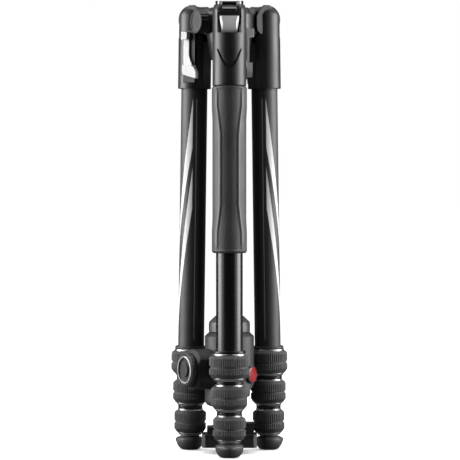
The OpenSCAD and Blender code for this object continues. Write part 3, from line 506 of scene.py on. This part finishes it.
def cartesian(radius, height, angle):
    """x = r cos a, y = r sin a, z = h."""
    return np.stack(np.broadcast_arrays(radius * np.cos(angle), radius * np.sin(angle), height),
                    axis=-1)


print("a square of side 1 in steps of 0.5:",
      len(refined([(0, 0), (1, 0), (1, 1), (0, 1), (0, 0)], 0.5)), "points")

# %% [markdown]
# Faces of a turned piece
#
# The grid's columns always close into a ring. Its rows close too where the profile is a loop,
# as on a sleeve; otherwise each end shrinks to one point, the pole. The faces point outwards
# where the profile runs so that the solid lies on its left.

# %% Faces of a turned piece
def ring_faces(rows, columns, loop):
    """Quads of a grid whose columns close into rings; with loop the last row joins the first."""
    i = np.arange(rows if loop else rows - 1)[:, None]
    j = np.arange(columns)[None, :]
    following, beside = (i + 1) % rows, (j + 1) % columns
    corners = (i * columns + j, i * columns + beside, following * columns + beside,
               following * columns + j)
    return np.stack(np.broadcast_arrays(*corners), axis=-1).reshape(-1, 4)


def pole_faces(rows, columns):
    """Triangles from the first row to the point after the grid, and from the last to the next."""
    j = np.arange(columns)
    beside = (j + 1) % columns
    first, last = rows * columns, rows * columns + 1
    low = np.stack([beside, j, np.full(columns, first)], axis=-1)
    high = np.stack([(rows - 1) * columns + j, (rows - 1) * columns + beside,
                     np.full(columns, last)], axis=-1)
    return np.vstack([low, high])


print("a ring of 4 by 6 points:", len(ring_faces(4, 6, loop=True)), "faces")

# %% [markdown]
# From a grid to a piece
#
# A piece could be moved into place by its object, but a CAD piece has its place in its mesh,
# so here too the points themselves are moved and the object stays at the origin. Each piece
# rides on a body, which moves it in the other poses.

# %% From a grid to a piece
def make_piece(name, grid, place, body, material, sharp, poles=None, marks=None):
    """A mesh object from a grid of points, moved by the 4x4 matrix place.

    Faces that meet at more than sharp degrees keep a hard edge between them. poles are the
    points that close the grid's two ends. marks holds named values, one for each grid point,
    that the material can read.
    """
    rows, columns = grid.shape[:2]
    points = grid.reshape(-1, 3)
    faces = ring_faces(rows, columns, loop=poles is None).tolist()
    if poles is not None:
        points = np.vstack([points, np.asarray(poles, float)])
        faces += pole_faces(rows, columns).tolist()
    points = points @ place[:3, :3].T + place[:3, 3]
    mesh = bpy.data.meshes.new(name)
    mesh.from_pydata(points.tolist(), [], faces)
    mesh.polygons.foreach_set("use_smooth", np.ones(len(mesh.polygons), bool))
    mesh.set_sharp_from_angle(angle=math.radians(sharp))
    mesh.materials.append(material)
    for label, values in (marks or {}).items():
        mesh.attributes.new(label, "FLOAT", "POINT").data.foreach_set("value", values.ravel())
    piece = bpy.data.objects.new(name, mesh)
    bpy.context.collection.objects.link(piece)
    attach(piece, body)
    return piece


# %% [markdown]
# Where a leg's pieces go
#
# Each leg has its own frame: the origin at the sole, Z up the leg and X away from the column.
# The folded legs lean outwards by less than a degree, so a leg's frame is a turn about the
# column, a step out to the hinge and then that small lean.

# %% The legs' frames
HINGE_R = 35.4 * MM
HINGE_Z = 381.2 * MM
LEG_LENGTH = 386.95 * MM
LEAN = math.radians(0.88)
LEG_TURN = {"front": -90, "left": 150, "right": 30}


def turned_about_z(degrees):
    """The 3x3 matrix of a turn about Z."""
    a = math.radians(degrees)
    return np.array([[math.cos(a), -math.sin(a), 0], [math.sin(a), math.cos(a), 0], [0, 0, 1]])


def leg_place(leg):
    """Turn about Z, times the lean about Y; the sole lies LEG_LENGTH below the hinge."""
    lean = np.array([[math.cos(LEAN), 0, -math.sin(LEAN)], [0, 1, 0],
                     [math.sin(LEAN), 0, math.cos(LEAN)]])
    out = turned_about_z(LEG_TURN[leg])
    place = np.eye(4)
    place[:3, :3] = out @ lean
    place[:3, 3] = out @ np.array([HINGE_R, 0, HINGE_Z]) - place[:3, 2] * LEG_LENGTH
    return place


for leg in LEGS:
    print(leg, "sole at", np.round(leg_place(leg)[:3, 3] / MM, 2), "mm")

# %% [markdown]
# Stripes on the rear tubes
#
# The two rear tubes carry plain tapered stripes in silver, and one fine line down the tube
# that is a painted highlight.
# They are worked out in the leg's own frame: the height above the sole, and the angle round
# the tube counted from the side that faces the camera. A stripe is what lies between two
# slanting lines, and it stops at an upright one. The right leg mirrors the left.

# %% Where the stripes are
# Each stripe's lower border passes through a height and an angle with a slope, and so does its
# upper border, whose angle is also the upright line where the stripe stops: in mm, degrees and
# degrees per mm
STRIPES = ((314.6, -5.0, 0.633, 271.9, -4.4, 0.840), (253.3, -3.0, 0.642, 217.4, -2.5, 0.740))
STRIPE_LOW, STRIPE_HIGH = 100.0, 315.6  # mm above the sole: just above the lock, below the casting
LOW_SOFT, HIGH_SOFT = 2.0, 0.5          # mm
CAMERA_SIDE = 120.0            # degrees round the leg from its outer side
BORDER_SOFT = 0.8              # degrees, as the next three
# the fine line down the tube is a painted highlight: its angle, half width, softness and strength
HIGHLIGHT_AT, HIGHLIGHT_HALF, HIGHLIGHT_SOFT = 12.0, 1.5, 0.6
HIGHLIGHT_STRENGTH = 0.45


def stripes_and_highlight_mask(tree, place, side):
    """1 between two borders, a border being its angle + slope * (height - its height), and a
    painted highlight line at part strength.
    """
    spot = add(tree, "ShaderNodeTexCoord").outputs["Object"]
    in_leg = add(tree, "ShaderNodeMapping", {"Vector": spot, "Location": place.to_translation(),
                                             "Rotation": place.to_euler()},
                 vector_type="TEXTURE").outputs[0]
    x, y, z = add(tree, "ShaderNodeSeparateXYZ", {"Vector": in_leg}).outputs
    degrees = maths(tree, "DEGREES", maths(tree, "ARCTAN2", y, x))
    turn = maths(tree, "SUBTRACT", maths(tree, "MULTIPLY", degrees, float(side)), CAMERA_SIDE)
    height = maths(tree, "DIVIDE", z, MM)
    mask = 0.0
    for top, start, slope, bend, end, steep in STRIPES:
        low = maths(tree, "MULTIPLY_ADD", height, slope, start - slope * top)
        high = maths(tree, "MULTIPLY_ADD", height, steep, end - steep * bend)
        high = maths(tree, "MINIMUM", high, end)
        above = soft_step(tree, maths(tree, "SUBTRACT", turn, low), 0, BORDER_SOFT)
        below = soft_step(tree, maths(tree, "SUBTRACT", high, turn), 0, BORDER_SOFT)
        mask = maths(tree, "MAXIMUM", maths(tree, "MULTIPLY", above, below), mask)
    # painted highlight: a faint silver line down the tube
    off_highlight = maths(tree, "ABSOLUTE", maths(tree, "SUBTRACT", turn, HIGHLIGHT_AT))
    painted_highlight = soft_step(tree, off_highlight, HIGHLIGHT_HALF, -HIGHLIGHT_SOFT)
    mask = maths(tree, "MAXIMUM", mask, maths(tree, "MULTIPLY", painted_highlight, HIGHLIGHT_STRENGTH))
    mask = maths(tree, "MULTIPLY", mask, soft_step(tree, height, STRIPE_LOW, LOW_SOFT))
    return maths(tree, "MULTIPLY", mask, soft_step(tree, height, STRIPE_HIGH, -HIGH_SOFT))


print("stripes:", len(STRIPES), "on each rear tube")

# %% [markdown]
# The striped tubes
#
# The tubes under the stripes are the same black ones, but the print makes them rougher. So
# each rear tube gets a copy of that finish, with new limits for its roughness, and the stripes
# and the painted highlight line mixed over its tone.

# %% Striped tubes
SILVER = (0.74, 0.75, 0.76)
STRIPED_ROUGH = (0.52, 0.58)


def striped_tube(leg, side):
    """The tube's finish, rougher and with the stripes and a painted highlight line over its tone.
    """
    material = tube_black.copy()
    material.name = f"{leg} striped tube"
    tree = material.node_tree
    shader = tree.nodes["Principled BSDF"]
    paint_over(material, stripes_and_highlight_mask(tree, Matrix(leg_place(leg).tolist()), side), SILVER)
    sheen = shader.inputs["Roughness"].links[0].from_socket.node
    for limit, value in zip(("To Min", "To Max"), STRIPED_ROUGH):
        sheen.inputs[limit].default_value = value
    shader.inputs["Specular IOR Level"].default_value = 0.8
    return material


for leg, side in (("left", 1), ("right", -1)):
    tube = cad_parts[f"{leg}_tube_1"]
    tube.data.materials[0] = striped_tube(leg, side)
    print(tube.name, "wears", tube.data.materials[0].name)

# %% [markdown]
# Ribbed sleeves of the twist locks
#
# The rubber on a twist lock has upright ribs all round, a smooth groove about its middle and
# bevelled ends. The ribs could be a bump in the material, but their outline shows against
# the white floor, so they are geometry: the radius swings in and out with the angle, and the
# swing fades towards the bevels and in the groove.

# %% Sleeves
LOCK_LOW = (66.9, 40.0, 13.1)           # underside of the locks above the sole, in mm
LOCK_RADIUS = (17.7, 15.9, 14.45)
SLEEVE_LOW, SLEEVE_HIGH, SLEEVE_MIDDLE = 2.54, 22.46, 12.0
SLEEVE_WALL = 3.46
BEVEL = 2.7                     # how far the ends are drawn in, in mm
EDGE_IN, EDGE_UP = 0.5, 0.15    # the small round at a bevel's narrow end
CREST = 0.2                     # a bevel's last stretch, which is steeper
LOW_BEVEL, HIGH_BEVEL = (3.1, 3.7), (1.8, 2.3)  # where the crest starts and ends, from the end
GROOVE_HALF, GROOVE_FLOOR_HALF, GROOVE_DEPTH = 1.2, 0.9, 1.0
RIBS = (58, 53, 48)
RIB_DEPTH, RIB_POWER = 0.50, 0.6        # a power below 1 makes the gaps wider than the ribs
RIBS_START, RIBS_FADE = 1.6, 1.4        # how deep below the full radius the ribs fade in
COLUMNS_PER_RIB = 5
SLEEVE_STEP = 0.7               # mm between the profile's points


def ramp(x, start, length):
    """0 up to start, 1 from start + length on, and straight between."""
    return np.clip((x - start) / length, 0, 1)


def sleeve_grid(k):
    """Radius = profile - depth * fade(radius) * ((1 - cos(ribs * angle)) / 2) ** power."""
    full = LOCK_RADIUS[k]
    inner, end = full - SLEEVE_WALL, full - BEVEL
    groove = full - GROOVE_DEPTH
    outline = [(inner, SLEEVE_LOW), (end, SLEEVE_LOW), (end + EDGE_IN, SLEEVE_LOW + EDGE_UP),
               (full - CREST, SLEEVE_LOW + LOW_BEVEL[0]), (full, SLEEVE_LOW + LOW_BEVEL[1]),
               (full, SLEEVE_MIDDLE - GROOVE_HALF), (groove, SLEEVE_MIDDLE - GROOVE_FLOOR_HALF),
               (groove, SLEEVE_MIDDLE + GROOVE_FLOOR_HALF), (full, SLEEVE_MIDDLE + GROOVE_HALF),
               (full, SLEEVE_HIGH - HIGH_BEVEL[1]), (full - CREST, SLEEVE_HIGH - HIGH_BEVEL[0]),
               (end + EDGE_IN, SLEEVE_HIGH - EDGE_UP), (end, SLEEVE_HIGH), (inner, SLEEVE_HIGH)]
    profile = refined(outline + outline[:1], SLEEVE_STEP)[:-1]
    radius, height, angle = carried_round(profile, RIBS[k] * COLUMNS_PER_RIB)
    proud = ramp(radius, full - RIBS_START, RIBS_FADE)
    swing = (1 - np.cos(RIBS[k] * angle)) / 2
    radius = radius - RIB_DEPTH * proud * swing ** RIB_POWER
    return cartesian(radius, height + LOCK_LOW[k], angle) * MM


for k in range(3):
    grid = sleeve_grid(k)
    for leg in LEGS:
        sleeve = make_piece(f"{leg}_ribbed_sleeve_{k + 1}", grid, leg_place(leg),
                            f"{leg}_lock_{k + 1}", lock_rubber, sharp=60)
        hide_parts(f"{leg}_sleeve_{k + 1}")
    print(f"sleeve {k + 1}:", grid.shape[0] * grid.shape[1], "points")

# %% [markdown]
# The rubber grip
#
# The front leg wears a long rubber sleeve, slightly waisted, with a flat back that clears the
# column. Its front is a panel shaped like an hourglass, a little lower than the flanks, with
# a low lip along its border. The panel is covered with small pyramids and the flanks more
# lightly. Two families of slanting grooves make them: where both are shallow a tip is left.
# It could be a bump in the material, but then the lip would have no edge against the light.

# %% Shape of the grip
GRIP_LOW, GRIP_HIGH = 178.7, 324.85     # above the sole, in mm as all sizes here
GRIP_END_R, GRIP_WAIST_R, GRIP_INNER_R = 15.45, 14.9, 11.79
GRIP_BACK = 13.2                # from the axis to the flat back
GRIP_STEP, GRIP_COLUMNS = 0.42, 240
END_ROUND, END_DROP = 2.4, 1.6  # length and depth of the rounding at the ends
PANEL_R = 14.45                 # the panel's own radius
PANEL_HALF, PANEL_WAIST, PANEL_SOFT = 10.4, 2.6, 1.8
KNURL_PITCH, KNURL_DEPTH, KNURL_ON_FLANKS = 2.3, 0.50, 0.35
LIP, LIP_INWARD, LIP_OUTWARD, LIP_OFF = 0.45, 0.7, 1.2, 0.3
# Where each of these sets in, counted from the nearer end, and over what length
WAIST_IN, PANEL_NARROWS = (16, 16), (18, 24)
PANEL_IN, LIP_IN, KNURL_IN = (1.2, 1.5), (3, 6), (2.6, 1.0)
FLAT_WITHIN = 0.3               # the least cosine that a flat side is worked out for


def cut_flat(radius, angle, distance):
    """The radius with a flat side at this distance from the axis, opposite angle 0."""
    return np.minimum(radius, distance / np.maximum(-np.cos(angle), FLAT_WITHIN))


def grip_grid():
    """Outer radius = waisted profile - panel depth + pyramids + a lip along the border."""
    length = GRIP_HIGH - GRIP_LOW
    along = np.linspace(0, length, int(round(length / GRIP_STEP)) + 1)[:, None]
    angle = np.linspace(0, 2 * math.pi, GRIP_COLUMNS, endpoint=False)[None, :]
    ends = np.minimum(along, length - along)
    waist = ramp(ends, *WAIST_IN)
    outer = GRIP_END_R - (GRIP_END_R - GRIP_WAIST_R) * waist * waist * (3 - 2 * waist)
    outer = outer - END_DROP * (1 - ramp(ends, 0, END_ROUND)) ** 2

    half = PANEL_HALF - PANEL_WAIST * ramp(ends, *PANEL_NARROWS)
    across = np.abs(GRIP_WAIST_R * np.sin(angle))
    front = np.cos(angle) > 0
    inside = np.where(front, np.clip((half - across) / PANEL_SOFT + 0.5, 0, 1), 0)
    inside = inside * ramp(ends, *PANEL_IN)
    beyond = across - half - LIP_OFF
    width = np.where(beyond < 0, LIP_INWARD, LIP_OUTWARD)
    lip = np.where(front, np.exp(-(beyond / width) ** 2), 0) * ramp(ends, *LIP_IN)

    arc = GRIP_WAIST_R * (angle - 2 * math.pi * (angle > math.pi))
    grooves = [np.abs((arc + slant * along) / KNURL_PITCH % 1 - 0.5) for slant in (1, -1)]
    pyramid = 1 - 2 * np.maximum(*grooves)
    strength = KNURL_ON_FLANKS + (1 - KNURL_ON_FLANKS) * inside
    knurl = KNURL_DEPTH * strength * ramp(ends, *KNURL_IN) * (1 - lip)
    radius = outer - inside * (GRIP_WAIST_R - PANEL_R) - knurl * (1 - pyramid) + lip * LIP
    outside = cartesian(cut_flat(radius, angle, GRIP_BACK), along + GRIP_LOW, angle)
    bore = cartesian(GRIP_INNER_R, np.array([[GRIP_HIGH], [GRIP_LOW]]), angle)
    return np.vstack([outside, bore]) * MM, np.vstack([lip, 0 * lip[:2]])


grip_points, lip_marks = grip_grid()
print("grip:", grip_points.shape[0], "rows of", grip_points.shape[1], "points")

# %% [markdown]
# The grip's polished lip
#
# The lip is painted paler than the rest: a painted highlight along the panel's border. The
# shader could find it by its place, but the shape has worked it out already: how far each grid
# point belongs to the lip is kept with the mesh as a value, and the material mixes in the
# painted highlight by it.

# %% Grip
lip_highlight_rubber = grip_rubber.copy()
lip_highlight_rubber.name = "grip rubber with painted lip highlight"
lip_highlight = add(lip_highlight_rubber.node_tree, "ShaderNodeAttribute", attribute_name="lip").outputs["Fac"]
# painted highlight: the lip is mixed to a paler grey
paint_over(lip_highlight_rubber, lip_highlight, tone3(0.17))
grip = make_piece("front_leg_grip", grip_points, leg_place("front"), "front_leg",
                  lip_highlight_rubber, sharp=70, marks={"lip": lip_marks})
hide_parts("front_grip")
print("grip:", len(grip.data.polygons), "faces")

# %% [markdown]
# Rubber feet
#
# A foot is a small round dome on its flat sole, cut flat towards the column, with a beak that
# points away from it. It could be sculpted, but a formula keeps all three alike: the beak is
# a swelling of the radius near one direction and one height.

# %% Feet
FOOT_TOP, TUBE4_R, TUBE4_SEAT = 12.8, 6.64, 4.0     # mm, as all sizes here
FOOT_FLAT = 9.3                 # from the axis to the side that faces the column
POLE_RING, SOLE_R = 0.6, 5.6    # radius of the ring next to a pole, and of the sole
DOME_IN, DOME_OUT, DOME_HIGH = 6, 6.4, 9.2
DOME_STEP = 7.5                 # degrees between the dome's points
FOOT_SHOULDER = ((12.3, 9.8), (11.6, 10.7), (10.2, 11.4), (9.6, 11.6), (9.1, 11.6),
                 (8.3, 12.1), (7.8, FOOT_TOP))      # radius and height above the dome
BEAK_REACH, BEAK_SPREAD, BEAK_AT, BEAK_TALL = 2.0, 0.42, 8.2, 2.6
BEAK_IN = (8, 4)                # the radius where the beak sets in, and over what length
FOOT_STEP, FOOT_COLUMNS = 0.8, 120


def foot_grid():
    """Radius = dome(height) + beak(angle) * peak(height), cut off at the flat inner side."""
    bend = np.radians(np.arange(0, 91, DOME_STEP))
    dome = np.stack([DOME_IN + DOME_OUT * np.sin(bend), DOME_HIGH * (1 - np.cos(bend))], axis=-1)
    outline = np.vstack([[(POLE_RING, 0), (SOLE_R, 0)], dome, FOOT_SHOULDER,
                         [(TUBE4_R, FOOT_TOP), (TUBE4_R, TUBE4_SEAT), (POLE_RING, TUBE4_SEAT)]])
    radius, height, angle = carried_round(refined(outline, FOOT_STEP), FOOT_COLUMNS)
    away = np.abs((angle + math.pi) % (2 * math.pi) - math.pi)
    beak = BEAK_REACH * np.exp(-(away / BEAK_SPREAD) ** 2)
    peak = np.exp(-((height - BEAK_AT) / BEAK_TALL) ** 2) * ramp(radius, *BEAK_IN)
    return cartesian(cut_flat(radius + beak * peak, angle, FOOT_FLAT), height, angle) * MM


foot_points = foot_grid()
for leg in LEGS:
    foot = make_piece(f"{leg}_rubber_foot", foot_points, leg_place(leg), f"{leg}_section_4",
                      foot_rubber, poles=[(0, 0, 0), (0, 0, TUBE4_SEAT * MM)],
                      sharp=45)
    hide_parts(f"{leg}_foot")
print("foot:", foot_points.shape[0], "rows of", foot_points.shape[1], "points")
